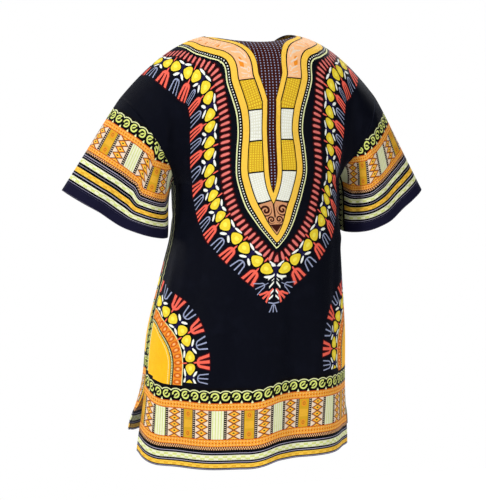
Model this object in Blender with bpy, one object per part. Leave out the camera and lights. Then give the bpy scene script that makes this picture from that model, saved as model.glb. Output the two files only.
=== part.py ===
"""A pull-on dashiki shirt: back, front and two wide short sleeves, standing as worn.

Metres, +Z up. The front faces -Y and the wearer's left is +X. The origin is the middle of the
neck opening, level with the top of the shoulder seams. One smooth form is worked out from the
sizes below, and cut along the seams into cloth walls of even thickness.
"""

import math
from collections import namedtuple

import bpy
import numpy as np

# cloth
CLOTH_THICKNESS = 0.002
SEAM_GAP = 0.0003
SEAM_INSET = SEAM_GAP * 0.7  # each edge stands back a little over half the gap, as rows lie askew
SMOOTH_SEAM = math.cos(math.radians(25))  # pieces that meet flatter than this share a wall
CLOTH_ROUGHNESS = 0.72

# neck and shoulders
NECK_PART = 0.36  # share of the shoulder line taken by the neck opening
LEVEL_PART = 0.30  # share of the shoulder line that lies level
SHOULDER_CURVE = 1.75  # how the shoulder line bends down beyond that
BACK_NECK_DEPTH = 0.22  # cut of the back neck, as a share of the way down to the underarm
FRONT_NECK_DEPTH = 0.66  # cut of the V neck, likewise
V_STRAIGHTNESS = 0.92  # 1 is a straight V, less bows its sides outwards
BLADE_LEVEL = 0.62  # share of the way to the underarm where the panels start to hang straight
# How the rows run out to the side: 0.5 is an ellipse, more is flatter towards the armhole.
YOKE_ROUNDNESS = 1.2
UNDERARM_ROUNDNESS = 0.5
ROUNDING_START = 0.55  # share of the way down where they start to turn elliptical

# armhole and sleeve
LEFT = 1
RIGHT = -1
Sleeve = namedtuple("Sleeve", "shoulder_out shoulder_drop tip_out tip_height inner_height")
SLEEVES = {
    LEFT: Sleeve(0.252, 0.113, 0.367, -0.281, -0.375),
    RIGHT: Sleeve(0.244, 0.115, 0.351, -0.304, -0.378),
}
ARMHOLE_DEPTH = 0.075  # half its width from front to back
ARMHOLE_POINT = 1.8  # 2 is a parabola under the arm, less is more pointed
CUFF_DEPTH = 0.058  # half the cuff's width from front to back
CUFF_CLEARANCE = 0.014  # how far the cuff's inner end stands out from the underarm
CUFF_DROOP = 0.012  # how far the cuff's edge sags between its two ends
CUFF_FLATNESS = 0.45  # how much the cuff's outer end is pressed flat
SLEEVE_START = (0.050, -0.064)  # run of the sleeve as it leaves the armhole: out, down

# hem and vents
VENT_TOP = -0.660
VENT_OPENING = 0.007  # how far each panel's edge leaves the side line at the hem
BACK_FLARE = 0.005  # how far the back's edges swing out at the hem
FRONT_FLARE = 0.016
EDGE_START = 0.6  # place across a panel from which its side edge swings out
LEVEL_END = 0.4  # share of the skirt that stays level, above the uneven hem
SEAM_START = 0.7  # place across a panel from which its heights follow the side seam
# How far the hem hangs below the last section, along each panel: a fold steps it up right of
# the middle of the back, and the front is a little shorter.
HemPoint = namedtuple("HemPoint", "place back_drop front_drop")
HEM_LINE = (
    HemPoint(-1.00, 0.006, -0.022),
    HemPoint(-0.10, 0.001, -0.018),
    HemPoint(0.13, 0.013, -0.021),
    HemPoint(0.70, 0.014, -0.026),
    HemPoint(1.00, -0.002, -0.040),
)

# grid
NECK_COLUMNS = 4
SHOULDER_COLUMNS = 9
YOKE_ROWS = 12
SKIRT_ROWS = 15
SLEEVE_ROWS = 7

BACK = 1
FRONT = -1
Section = namedtuple("Section", "height half_width back_depth front_depth sway")
SECTIONS = (
    Section(-0.273, 0.160, 0.136, 0.122, -0.010),
    Section(-0.380, 0.166, 0.139, 0.124, -0.010),
    Section(-0.430, 0.174, 0.141, 0.127, -0.005),
    Section(-0.480, 0.182, 0.144, 0.131, 0.000),
    Section(-0.560, 0.194, 0.149, 0.138, 0.007),
    Section(-0.660, 0.199, 0.153, 0.143, 0.011),
    Section(-0.785, 0.206, 0.158, 0.150, 0.018),
)
Blade = namedtuple("Blade", "depth height roll")
BLADES = {BACK: Blade(0.129, -0.150, 1.5), FRONT: Blade(0.112, -0.145, 1.15)}

# Hanging folds: place across a panel (-1 right side seam, 1 left side seam), width and depth
# at the hem (troughs are negative), and the height at which the fold dies out.
Fold = namedtuple("Fold", "face place width depth top")
FOLD_FADE = 6  # power by which folds die out at the side seams
BODY_FOLDS = (
    Fold(BACK, 0.84, 0.12, 0.007, -0.50),
    Fold(BACK, 0.57, 0.10, -0.006, -0.45),
    Fold(BACK, 0.33, 0.11, 0.005, -0.38),
    Fold(BACK, 0.03, 0.08, 0.009, -0.42),
    Fold(BACK, -0.20, 0.09, -0.008, -0.40),
    Fold(BACK, -0.46, 0.12, 0.006, -0.36),
    Fold(BACK, -0.74, 0.10, -0.005, -0.48),
    Fold(FRONT, 0.72, 0.11, 0.006, -0.44),
    Fold(FRONT, 0.44, 0.10, -0.006, -0.38),
    Fold(FRONT, 0.13, 0.12, 0.007, -0.40),
    Fold(FRONT, -0.19, 0.10, -0.007, -0.36),
    Fold(FRONT, -0.47, 0.11, 0.008, -0.42),
    Fold(FRONT, -0.76, 0.10, -0.005, -0.50),
)

# Sleeve folds run from the armhole to the cuff: place round the sleeve (0 shoulder seam,
# 1 underarm), width and depth at the cuff, and how far the cloth beyond the fold has slid down.
SleeveFold = namedtuple("SleeveFold", "side face place width depth slip")
SLEEVE_FOLDS = (
    SleeveFold(LEFT, BACK, 0.44, 0.10, -0.006, 0.008),
    SleeveFold(LEFT, BACK, 0.66, 0.10, 0.006, 0.000),
    SleeveFold(LEFT, FRONT, 0.50, 0.12, -0.007, 0.005),
    SleeveFold(RIGHT, BACK, 0.40, 0.09, -0.006, 0.007),
    SleeveFold(RIGHT, BACK, 0.68, 0.11, 0.007, 0.000),
    SleeveFold(RIGHT, FRONT, 0.42, 0.12, -0.006, 0.004),
)

COLOURS = {
    "back_panel": (0.012, 0.014, 0.032),
    "front_panel": (0.016, 0.018, 0.040),
    "left_sleeve": (0.60, 0.36, 0.06),
    "right_sleeve": (0.55, 0.32, 0.05),
}


def mix(start, end, part):
    return start + (end - start) * part


def ease(part):
    part = min(max(part, 0.0), 1.0)
    return part * part * (3 - 2 * part)


def hump(distance, width):
    return math.exp(-((distance / width) ** 2))


def section_at(height, column):
    """A column of SECTIONS at any height, on a smooth curve through its rows."""
    heights = [row.height for row in SECTIONS]
    values = [getattr(row, column) for row in SECTIONS]
    slopes = np.gradient(values, heights)
    row = 0
    while row < len(heights) - 2 and height < heights[row + 1]:
        row += 1
    span = heights[row + 1] - heights[row]
    t = (height - heights[row]) / span
    return (
        values[row] * (1 + 2 * t) * (1 - t) ** 2
        + slopes[row] * span * t * (1 - t) ** 2
        + values[row + 1] * t * t * (3 - 2 * t)
        + slopes[row + 1] * span * t * t * (t - 1)
    )


def depth_name(face):
    return "back_depth" if face == BACK else "front_depth"


def underarm(side):
    top = SECTIONS[0]
    return np.array([top.sway + side * top.half_width, 0.0, top.height])


def shoulder_end(side):
    return np.array([side * SLEEVES[side].shoulder_out, 0.0, -SLEEVES[side].shoulder_drop])


def armhole_point(side, face, part):
    """The armhole seam, from the shoulder seam (part 0) down to the underarm (part 1).

    It is round over the shoulder and comes to a point under the arm.
    """
    if part < 0.5:
        down = (1 - math.cos(math.pi * part)) / 2
        depth = ARMHOLE_DEPTH * math.sin(math.pi * part)
    else:
        down = part
        depth = ARMHOLE_DEPTH * (1 - (2 * part - 1) ** ARMHOLE_POINT)
    across = np.array([0.0, face * depth, 0.0])
    return mix(shoulder_end(side), underarm(side), down) + across


def middle_profile(face, part):
    """Depth and height of a panel's middle line, from the shoulder level to the underarm."""
    blade = BLADES[face]
    if part < BLADE_LEVEL:
        angle = math.pi / 2 * part / BLADE_LEVEL
        return blade.depth * math.sin(angle), blade.height * (1 - math.cos(angle)) ** blade.roll
    below = (part - BLADE_LEVEL) / (1 - BLADE_LEVEL)
    depth = mix(blade.depth, getattr(SECTIONS[0], depth_name(face)), ease(below))
    return depth, mix(blade.height, SECTIONS[0].height, below)


def yoke_point(face, across, part):
    """A point above the underarm. across runs from -1 to 1 and part from shoulder to underarm."""
    side = RIGHT if across < 0 else LEFT
    reach = abs(across)
    edge = armhole_point(side, face, part)
    depth, height = middle_profile(face, part)
    out = mix(reach, math.sin(math.pi / 2 * reach), ease(part))
    turning = ease((part - ROUNDING_START) / (1 - ROUNDING_START))
    roundness = mix(YOKE_ROUNDNESS, UNDERARM_ROUNDNESS, turning)
    fall = (1 - out * out) ** roundness if out < 1 else 0.0
    sloping = max(reach - LEVEL_PART, 0.0) / (1 - LEVEL_PART)
    slope = mix(sloping**SHOULDER_CURVE, reach * reach, ease(part))
    sway = SECTIONS[0].sway * ease(part)
    return np.array([
        mix(sway, edge[0], out),
        edge[1] + (face * depth - edge[1]) * fall,
        mix(height, edge[2], slope),
    ])


def fold_height(face, place, height):
    total = 0.0
    hem = SECTIONS[-1].height
    for fold in BODY_FOLDS:
        if fold.face == face:
            grown = ease((fold.top - height) / (fold.top - hem))
            total += fold.depth * grown * hump(place - fold.place, fold.width)
    return total


def hem_drop(face, place):
    row = 0
    while row < len(HEM_LINE) - 2 and place > HEM_LINE[row + 1].place:
        row += 1
    start = HEM_LINE[row]
    end = HEM_LINE[row + 1]
    part = ease((place - start.place) / (end.place - start.place))
    if face == BACK:
        return mix(start.back_drop, end.back_drop, part)
    return mix(start.front_drop, end.front_drop, part)


def skirt_point(face, across, part):
    """A point below the underarm, on the rings of SECTIONS, with the hanging folds."""
    height = mix(SECTIONS[0].height, SECTIONS[-1].height, part)
    angle = math.pi / 2 * across
    half_width = section_at(height, "half_width")
    depth = section_at(height, depth_name(face))
    out = np.array([math.sin(angle) / half_width, face * math.cos(angle) / depth])
    out /= np.linalg.norm(out)
    reach = abs(across)
    fold = fold_height(face, across, height) * (1 - reach**FOLD_FADE)
    open_part = ease((VENT_TOP - height) / (VENT_TOP - SECTIONS[-1].height))
    near_edge = ease((reach - EDGE_START) / (1 - EDGE_START))
    near_seam = ease((reach - SEAM_START) / (1 - SEAM_START))
    low_part = mix(ease((part - LEVEL_END) / (1 - LEVEL_END)), open_part, near_seam)
    x = section_at(height, "sway") + half_width * math.sin(angle) + fold * out[0]
    y = face * depth * math.cos(angle) + fold * out[1]
    y += face * VENT_OPENING * open_part * near_edge
    flare = BACK_FLARE if face == BACK else FRONT_FLARE
    x += math.copysign(flare, across) * open_part * near_edge
    return np.array([x, y, height - hem_drop(face, across) * low_part])


def neck_cut(face, across):
    """How far down a column of a panel starts, as a share of the way to the underarm."""
    inside = 1 - abs(across) / NECK_PART
    if inside <= 0:
        return 0.0
    if face == BACK:
        return BACK_NECK_DEPTH * math.sqrt(1 - (1 - inside) ** 2)
    return FRONT_NECK_DEPTH * inside**V_STRAIGHTNESS


def column_places():
    neck = [NECK_PART * math.sin(math.pi / 2 * i / NECK_COLUMNS) for i in range(NECK_COLUMNS)]
    rest = [mix(NECK_PART, 1.0, i / SHOULDER_COLUMNS) for i in range(SHOULDER_COLUMNS + 1)]
    half = neck + rest
    return [-place for place in reversed(half[1:])] + half


def panel_grid(face):
    """Rows of points of a panel, top to bottom, each from the right side to the left."""
    places = column_places()
    rows = []
    for row in range(YOKE_ROWS):
        line = []
        for across in places:
            cut = neck_cut(face, across)
            line.append(yoke_point(face, across, mix(cut, 1.0, row / YOKE_ROWS)))
        rows.append(line)
    for row in range(SKIRT_ROWS + 1):
        rows.append([skirt_point(face, across, row / SKIRT_ROWS) for across in places])
    return rows


def cuff_point(side, face, part):
    """The cuff's edge, from its outer tip (part 0) round to its inner end (part 1)."""
    angle = math.pi * part
    sleeve = SLEEVES[side]
    tip = np.array([side * sleeve.tip_out, 0.0, sleeve.tip_height])
    inner_out = abs(underarm(side)[0]) + CUFF_CLEARANCE
    inner = np.array([side * inner_out, 0.0, sleeve.inner_height])
    pressed = 1 - CUFF_FLATNESS * (1 + math.cos(angle)) / 2
    across = face * CUFF_DEPTH * math.sin(angle) * pressed
    droop = CUFF_DROOP * math.sin(angle) ** 2
    edge = mix((tip + inner) / 2, tip, math.cos(angle))
    return edge + np.array([0.0, across, -droop])


def sleeve_point(side, face, part, along):
    """A point of a sleeve. part runs from shoulder to underarm, along from armhole to cuff."""
    start = armhole_point(side, face, part)
    end = cuff_point(side, face, part)
    leave = np.array([side * SLEEVE_START[0], 0.0, SLEEVE_START[1]])
    point = (
        start * (1 + 2 * along) * (1 - along) ** 2
        + leave * along * (1 - along) ** 2
        + end * along * along * (3 - 2 * along)
        + (end - start) * along * along * (along - 1)
    )
    run = (end - start) / np.linalg.norm(end - start)
    for fold in SLEEVE_FOLDS:
        if (fold.side, fold.face) == (side, face):
            grown = ease(along) * math.sin(math.pi * part)
            bend = fold.depth * grown * hump(part - fold.place, fold.width)
            slid = fold.slip * grown * ease((part - fold.place) / fold.width / 2 + 0.5)
            point = point + np.array([0.0, face * bend, 0.0]) + run * slid
    return point


def sleeve_grid(side):
    """Rings of points from armhole to cuff, each once round from the shoulder seam."""
    rounds = [(BACK, i / YOKE_ROWS) for i in range(YOKE_ROWS)]
    rounds += [(FRONT, i / YOKE_ROWS) for i in range(YOKE_ROWS, 0, -1)]
    rounds.append(rounds[0])
    rows = []
    for row in range(SLEEVE_ROWS + 1):
        along = row / SLEEVE_ROWS
        rows.append([sleeve_point(side, face, part, along) for face, part in rounds])
    return rows


def grid_faces(rows, number_of, flipped):
    """Quads over rows of points. number_of gives a point's number on the whole form."""
    faces = []
    numbers = [[number_of(point) for point in row] for row in rows]
    for upper, lower in zip(numbers, numbers[1:]):
        for i in range(len(upper) - 1):
            face = [upper[i], lower[i], lower[i + 1], upper[i + 1]]
            faces.append(face[::-1] if flipped else face)
    return faces


def face_normal(points, face):
    a, b, c, d = (points[i] for i in face)
    return np.cross(c - a, d - b) / 2


def gather(faces, values):
    """The sum of the values of the faces round each point."""
    sums = {}
    for face, value in zip(faces, values):
        for i in face:
            sums[i] = sums.get(i, 0) + value
    return sums


def unit(vector):
    return vector / np.linalg.norm(vector)


def cloth_wall(name, faces, points, shared_normals, seam_points):
    """One piece: its outer side, its inner side a cloth's thickness in, and its cut edges."""
    own_normals = gather(faces, [face_normal(points, face) for face in faces])
    centres = gather(faces, [np.append(sum(points[i] for i in face) / 4, 1.0) for face in faces])
    numbers = sorted(own_normals)
    place = {number: i for i, number in enumerate(numbers)}
    outer = []
    inner = []
    for number in numbers:
        normal = unit(own_normals[number])
        shared = unit(shared_normals[number])
        if normal @ shared > SMOOTH_SEAM:
            normal = shared
        point = points[number]
        if number in seam_points:
            inwards = centres[number][:3] / centres[number][3] - point
            inwards = inwards - normal * (inwards @ normal)
            point = point + unit(inwards) * SEAM_INSET
        outer.append(point)
        inner.append(point - normal * CLOTH_THICKNESS)
    count = len(numbers)
    outside = [[place[i] for i in face] for face in faces]
    inside = [[place[i] + count for i in reversed(face)] for face in faces]
    edges = {(face[i], face[(i + 1) % 4]) for face in outside for i in range(4)}
    rim = [[b, a, a + count, b + count] for a, b in sorted(edges) if (b, a) not in edges]
    mesh = bpy.data.meshes.new(name)
    mesh.from_pydata([tuple(p) for p in outer + inner], [], outside + inside + rim)
    mesh.materials.append(cloth_material(name))
    piece = bpy.data.objects.new(name, mesh)
    bpy.context.collection.objects.link(piece)
    return piece


def cloth_material(name):
    material = bpy.data.materials.new(name)
    material.use_nodes = True
    shader = material.node_tree.nodes["Principled BSDF"]
    shader.inputs["Base Color"].default_value = (*COLOURS[name], 1.0)
    shader.inputs["Roughness"].default_value = CLOTH_ROUGHNESS
    shader.inputs["Metallic"].default_value = 0.0
    return material


def build_shirt():
    points = []
    known = {}

    def number_of(point):
        key = tuple(round(float(value), 6) + 0.0 for value in point)
        if key not in known:
            known[key] = len(points)
            points.append(np.array(point, float))
        return known[key]

    pieces = {
        "back_panel": grid_faces(panel_grid(BACK), number_of, True),
        "front_panel": grid_faces(panel_grid(FRONT), number_of, False),
        "left_sleeve": grid_faces(sleeve_grid(LEFT), number_of, False),
        "right_sleeve": grid_faces(sleeve_grid(RIGHT), number_of, True),
    }
    all_faces = [face for faces in pieces.values() for face in faces]
    shared_normals = gather(all_faces, [face_normal(points, face) for face in all_faces])
    users = {}
    for name, faces in pieces.items():
        for face in faces:
            for i in face:
                users.setdefault(i, set()).add(name)
    seam_points = {i for i, names in users.items() if len(names) > 1}
    for name, faces in pieces.items():
        cloth_wall(name, faces, points, shared_normals, seam_points)


for old in list(bpy.data.objects):
    bpy.data.objects.remove(old, do_unlink=True)
build_shirt()
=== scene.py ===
# A pull-on dashiki shirt, hollow as worn: navy cotton with a neck medallion, side arches,
# a patterned hem border and two short sleeves cut from the same border.
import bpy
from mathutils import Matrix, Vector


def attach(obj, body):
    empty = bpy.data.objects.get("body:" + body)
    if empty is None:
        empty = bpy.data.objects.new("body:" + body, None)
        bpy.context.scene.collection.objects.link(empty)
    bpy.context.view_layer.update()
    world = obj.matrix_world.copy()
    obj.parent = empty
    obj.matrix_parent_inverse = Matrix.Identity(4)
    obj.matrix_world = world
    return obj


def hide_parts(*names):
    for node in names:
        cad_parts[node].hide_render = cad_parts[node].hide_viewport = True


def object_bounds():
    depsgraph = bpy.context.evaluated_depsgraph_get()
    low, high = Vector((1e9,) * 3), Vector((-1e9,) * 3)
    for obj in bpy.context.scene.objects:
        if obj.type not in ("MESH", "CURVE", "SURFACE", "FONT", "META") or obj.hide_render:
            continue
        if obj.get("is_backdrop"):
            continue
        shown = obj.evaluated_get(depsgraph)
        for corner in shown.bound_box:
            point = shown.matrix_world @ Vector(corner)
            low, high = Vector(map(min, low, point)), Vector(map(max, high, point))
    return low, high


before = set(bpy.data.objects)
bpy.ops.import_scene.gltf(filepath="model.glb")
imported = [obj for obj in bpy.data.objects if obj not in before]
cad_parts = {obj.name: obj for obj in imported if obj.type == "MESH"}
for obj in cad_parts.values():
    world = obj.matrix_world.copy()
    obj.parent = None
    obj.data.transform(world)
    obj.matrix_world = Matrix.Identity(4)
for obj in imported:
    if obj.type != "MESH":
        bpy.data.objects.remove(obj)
cadBox = [list(corner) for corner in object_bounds()]

import math

import bpy
import numpy as np
from mathutils import Vector

print("shirt: frame loaded")
for loaded in bpy.context.selected_objects:
    loaded.select_set(False)

# the form comes from the same sizes as the solids; the left sleeve is at +X, the back at +Y
left, right = 1, -1
back, front = 1, -1

shirtCut = {
    "neckShare": 0.36,  # share of the shoulder line taken by the neck
    "levelShare": 0.30,  # share of the shoulder line that lies level
    "shoulderCurve": 1.75,
    "backNeckDepth": 0.22,
    "frontNeckDepth": 0.66,
    "vStraightness": 0.92,
    "bladeLevel": 0.62,
    "yokeRoundness": 1.2,
    "underarmRoundness": 0.5,
    "roundingStart": 0.55,
    "ventTop": -0.660,
    "ventOpening": 0.007,
    "flare": {back: 0.005, front: 0.016},
    "edgeStart": 0.6,
    "levelEnd": 0.4,
    "seamStart": 0.7,
    "foldFade": 6,
    "blade": {back: (0.129, -0.150, 1.5), front: (0.112, -0.145, 1.15)},  # depth, height, roll
    # height, half width, back depth, front depth, sway
    "sections": np.array([
        (-0.273, 0.160, 0.136, 0.122, -0.010),
        (-0.380, 0.166, 0.139, 0.124, -0.010),
        (-0.430, 0.174, 0.141, 0.127, -0.005),
        (-0.480, 0.182, 0.144, 0.131, 0.000),
        (-0.560, 0.194, 0.149, 0.138, 0.007),
        (-0.660, 0.199, 0.153, 0.143, 0.011),
        (-0.785, 0.206, 0.158, 0.150, 0.018),
    ]),
    # place across, drop of the back hem, drop of the front hem
    "hemLine": np.array([
        (-1.00, 0.006, -0.022),
        (-0.10, 0.001, -0.018),
        (0.13, 0.013, -0.021),
        (0.70, 0.014, -0.026),
        (1.00, -0.002, -0.040),
    ]),
    # hanging folds: face, place across, width, depth at the hem, height where it dies out
    "folds": (
        (back, 0.84, 0.12, 0.007, -0.50),
        (back, 0.57, 0.10, -0.006, -0.45),
        (back, 0.33, 0.11, 0.005, -0.38),
        (back, 0.03, 0.08, 0.009, -0.42),
        (back, -0.20, 0.09, -0.008, -0.40),
        (back, -0.46, 0.12, 0.006, -0.36),
        (back, -0.74, 0.10, -0.005, -0.48),
        (front, 0.72, 0.11, 0.006, -0.44),
        (front, 0.44, 0.10, -0.006, -0.38),
        (front, 0.13, 0.12, 0.007, -0.40),
        (front, -0.19, 0.10, -0.007, -0.36),
        (front, -0.47, 0.11, 0.008, -0.42),
        (front, -0.76, 0.10, -0.005, -0.50),
    ),
}

sleeveCut = {
    # shoulder out, shoulder drop, cuff tip out, cuff tip height, cuff inner height
    left: (0.252, 0.113, 0.367, -0.281, -0.375),
    right: (0.244, 0.115, 0.351, -0.304, -0.378),
    "armholeDepth": 0.075,
    "armholePoint": 1.8,
    "cuffDepth": 0.058,
    "cuffClearance": 0.014,
    "cuffDroop": 0.012,
    "cuffFlatness": 0.45,
    "start": (0.050, -0.064),
    # folds: side, face, place round, width, depth at the cuff, slip
    "folds": (
        (left, back, 0.44, 0.10, -0.006, 0.008),
        (left, back, 0.66, 0.10, 0.006, 0.000),
        (left, front, 0.50, 0.12, -0.007, 0.005),
        (right, back, 0.40, 0.09, -0.006, 0.007),
        (right, back, 0.68, 0.11, 0.007, 0.000),
        (right, front, 0.42, 0.12, -0.006, 0.004),
    ),
}


def blend(start, end, part):
    return start + (end - start) * part


def ease(part):
    part = np.clip(part, 0.0, 1.0)
    return part * part * (3 - 2 * part)


def hump(distance, width):
    return np.exp(-((distance / width) ** 2))


def threeOf(x, y, z):
    return np.stack(np.broadcast_arrays(x, y, z), axis=-1)


def smoothStep(start, leave, end, arrive, t):
    # a smooth run from start to end that leaves and arrives at the given slopes
    return (
        start * (1 + 2 * t) * (1 - t) ** 2
        + leave * t * (1 - t) ** 2
        + end * t * t * (3 - 2 * t)
        + arrive * t * t * (t - 1)
    )


def sectionAt(height, column):
    # a column of the sections at any height, on a smooth curve through its rows
    heights = shirtCut["sections"][:, 0]
    values = shirtCut["sections"][:, column]
    slopes = np.gradient(values, heights)
    row = np.clip(np.searchsorted(-heights, -height, side="right") - 1, 0, len(heights) - 2)
    span = heights[row + 1] - heights[row]
    part = (height - heights[row]) / span
    return smoothStep(values[row], slopes[row] * span, values[row + 1], slopes[row + 1] * span, part)


def armholePoint(side, face, part):
    # round over the shoulder, and pointed under the arm
    out, drop = sleeveCut[side][:2]
    top = shirtCut["sections"][0]
    upper = part < 0.5
    down = np.where(upper, (1 - np.cos(np.pi * part)) / 2, part)
    lowDepth = 1 - np.abs(2 * part - 1) ** sleeveCut["armholePoint"]
    depth = sleeveCut["armholeDepth"] * np.where(upper, np.sin(np.pi * part), lowDepth)
    x = blend(side * out, top[4] + side * top[1], down)
    return threeOf(x, face * depth, blend(-drop, top[0], down))


def middleProfile(face, part):
    depth, height, roll = shirtCut["blade"][face]
    level = shirtCut["bladeLevel"]
    angle = np.pi / 2 * np.minimum(part / level, 1)
    below = np.maximum((part - level) / (1 - level), 0)
    top = shirtCut["sections"][0]
    hung = blend(depth, top[2 if face == back else 3], ease(below))
    y = np.where(part < level, depth * np.sin(angle), hung)
    z = np.where(part < level, height * (1 - np.cos(angle)) ** roll, blend(height, top[0], below))
    return y, z


def yokePoint(face, across, part):
    # part runs from the shoulder line (0) to the underarm (1)
    reach = np.abs(across)
    edge = np.where(
        (across < 0)[..., None], armholePoint(right, face, part), armholePoint(left, face, part)
    )
    depth, height = middleProfile(face, part)
    out = blend(reach, np.sin(np.pi / 2 * reach), ease(part))
    turning = ease((part - shirtCut["roundingStart"]) / (1 - shirtCut["roundingStart"]))
    roundness = blend(shirtCut["yokeRoundness"], shirtCut["underarmRoundness"], turning)
    fall = np.maximum(1 - out * out, 0) ** roundness
    level = shirtCut["levelShare"]
    sloping = np.maximum(reach - level, 0) / (1 - level)
    slope = blend(sloping ** shirtCut["shoulderCurve"], reach * reach, ease(part))
    sway = shirtCut["sections"][0, 4] * ease(part)
    return threeOf(
        blend(sway, edge[..., 0], out),
        edge[..., 1] + (face * depth - edge[..., 1]) * fall,
        blend(height, edge[..., 2], slope),
    )


def skirtPoint(face, across, part):
    # part runs from the underarm (0) to the hem (1)
    heights = shirtCut["sections"][:, 0]
    hem = heights[-1]
    height = blend(heights[0], hem, part)
    angle = np.pi / 2 * across
    halfWidth = sectionAt(height, 1)
    depth = sectionAt(height, 2 if face == back else 3)
    outX = np.sin(angle) / halfWidth
    outY = face * np.cos(angle) / depth
    size = np.hypot(outX, outY)
    reach = np.abs(across)
    fold = 0.0
    for foldFace, place, width, amount, top in shirtCut["folds"]:
        if foldFace == face:
            fold = fold + amount * ease((top - height) / (top - hem)) * hump(across - place, width)
    fold = fold * (1 - reach ** shirtCut["foldFade"])
    ventTop = shirtCut["ventTop"]
    openPart = ease((ventTop - height) / (ventTop - hem))
    nearEdge = ease((reach - shirtCut["edgeStart"]) / (1 - shirtCut["edgeStart"]))
    nearSeam = ease((reach - shirtCut["seamStart"]) / (1 - shirtCut["seamStart"]))
    lowPart = ease((part - shirtCut["levelEnd"]) / (1 - shirtCut["levelEnd"]))
    lowPart = blend(lowPart, openPart, nearSeam)
    x = sectionAt(height, 4) + halfWidth * np.sin(angle) + fold * outX / size
    x = x + np.sign(across) * shirtCut["flare"][face] * openPart * nearEdge
    y = face * depth * np.cos(angle) + fold * outY / size
    y = y + face * shirtCut["ventOpening"] * openPart * nearEdge
    line = shirtCut["hemLine"]
    row = np.clip(np.searchsorted(line[:, 0], across, side="left") - 1, 0, len(line) - 2)
    drops = line[:, 1 if face == back else 2]
    along = ease((across - line[row, 0]) / (line[row + 1, 0] - line[row, 0]))
    return threeOf(x, y, height - blend(drops[row], drops[row + 1], along) * lowPart)


def panelPoint(face, across, level):
    # level 0 is the shoulder line, 1 the underarm and 2 the hem
    across, level = np.broadcast_arrays(across, level)
    yoke = yokePoint(face, across, np.minimum(level, 1))
    skirt = skirtPoint(face, across, np.maximum(level - 1, 0))
    return np.where((level < 1)[..., None], yoke, skirt)


def neckCut(face, across):
    inside = np.maximum(1 - np.abs(across) / shirtCut["neckShare"], 0)
    if face == back:
        return shirtCut["backNeckDepth"] * np.sqrt(1 - (1 - inside) ** 2)
    return shirtCut["frontNeckDepth"] * inside ** shirtCut["vStraightness"]


def cuffPoint(side, face, part):
    tipOut, tipHeight, innerHeight = sleeveCut[side][2:]
    top = shirtCut["sections"][0]
    angle = np.pi * part
    innerOut = abs(top[4] + side * top[1]) + sleeveCut["cuffClearance"]
    pressed = 1 - sleeveCut["cuffFlatness"] * (1 + np.cos(angle)) / 2
    towardsTip = (1 + np.cos(angle)) / 2
    return threeOf(
        side * blend(innerOut, tipOut, towardsTip),
        face * sleeveCut["cuffDepth"] * np.sin(angle) * pressed,
        blend(innerHeight, tipHeight, towardsTip) - sleeveCut["cuffDroop"] * np.sin(angle) ** 2,
    )


def sleevePoint(side, face, part, along):
    # part runs from the shoulder seam to the underarm, along from the armhole to the cuff
    part, along = np.broadcast_arrays(part, along)
    start = armholePoint(side, face, part)
    end = cuffPoint(side, face, part)
    leave = np.array([side * sleeveCut["start"][0], 0.0, sleeveCut["start"][1]])
    point = smoothStep(start, leave, end, end - start, along[..., None])
    run = (end - start) / np.linalg.norm(end - start, axis=-1, keepdims=True)
    for foldSide, foldFace, place, width, depth, slip in sleeveCut["folds"]:
        if (foldSide, foldFace) == (side, face):
            grown = ease(along) * np.sin(np.pi * part)
            bend = depth * grown * hump(part - place, width)
            slid = slip * grown * ease((part - place) / width / 2 + 0.5)
            point = point + threeOf(0.0, face * bend, 0.0) + run * slid[..., None]
    return point


# creases, listed one by one: face, start (across, down), end (across, down), width, depth and bow,
# in millimetres across from the panel's middle line and down from its shoulder line
panelCreases = (
    (back, (214, 40), (176, 300), 16, -5.0, 6),
    (back, (238, 70), (196, 330), 13, 4.0, 4),
    (back, (176, 90), (150, 330), 18, 3.5, -5),
    (back, (-206, 50), (-168, 320), 17, -4.5, -6),
    (back, (-236, 90), (-190, 330), 13, 3.5, -4),
    (back, (-170, 110), (-140, 300), 16, 2.5, 4),
    (back, (150, 350), (172, 640), 22, -4.0, 8),
    (back, (118, 420), (112, 800), 26, 3.5, -6),
    (back, (66, 520), (84, 760), 20, -3.5, 5),
    (back, (28, 560), (30, 830), 18, 4.0, -4),
    (back, (-34, 500), (-46, 850), 22, -4.5, 6),
    (back, (-86, 440), (-110, 780), 24, 3.5, 7),
    (back, (-150, 380), (-168, 700), 20, -3.5, -6),
    (back, (208, 380), (232, 620), 14, 3.0, 4),
    (back, (-202, 360), (-222, 560), 12, -2.5, -4),
    (back, (60, 250), (-30, 330), 26, -1.8, 8),
    (back, (222, 330), (150, 372), 9, -2.6, 6),
    (back, (224, 352), (168, 410), 8, 2.2, 5),
    (back, (-222, 332), (-160, 368), 9, -2.4, -6),
    (back, (-224, 356), (-172, 420), 8, 2.0, -5),
    (front, (206, 40), (160, 300), 16, -5.0, 6),
    (front, (234, 80), (188, 320), 13, 4.0, 4),
    (front, (150, 110), (120, 330), 18, 3.0, -5),
    (front, (-200, 60), (-158, 310), 16, -4.5, -6),
    (front, (-232, 90), (-184, 330), 12, 3.5, -4),
    (front, (-140, 130), (-104, 360), 18, 2.5, 5),
    (front, (60, 300), (26, 620), 24, -3.5, 8),
    (front, (-48, 340), (-20, 700), 22, 3.5, -6),
    (front, (124, 380), (136, 780), 24, 4.0, -6),
    (front, (-112, 420), (-128, 760), 22, -4.0, 6),
    (front, (176, 400), (190, 640), 16, -3.0, 4),
    (front, (-186, 380), (-200, 620), 15, 3.0, -5),
    (front, (220, 322), (150, 364), 9, -2.6, 6),
    (front, (-220, 324), (-156, 372), 9, -2.4, -6),
)


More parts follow.
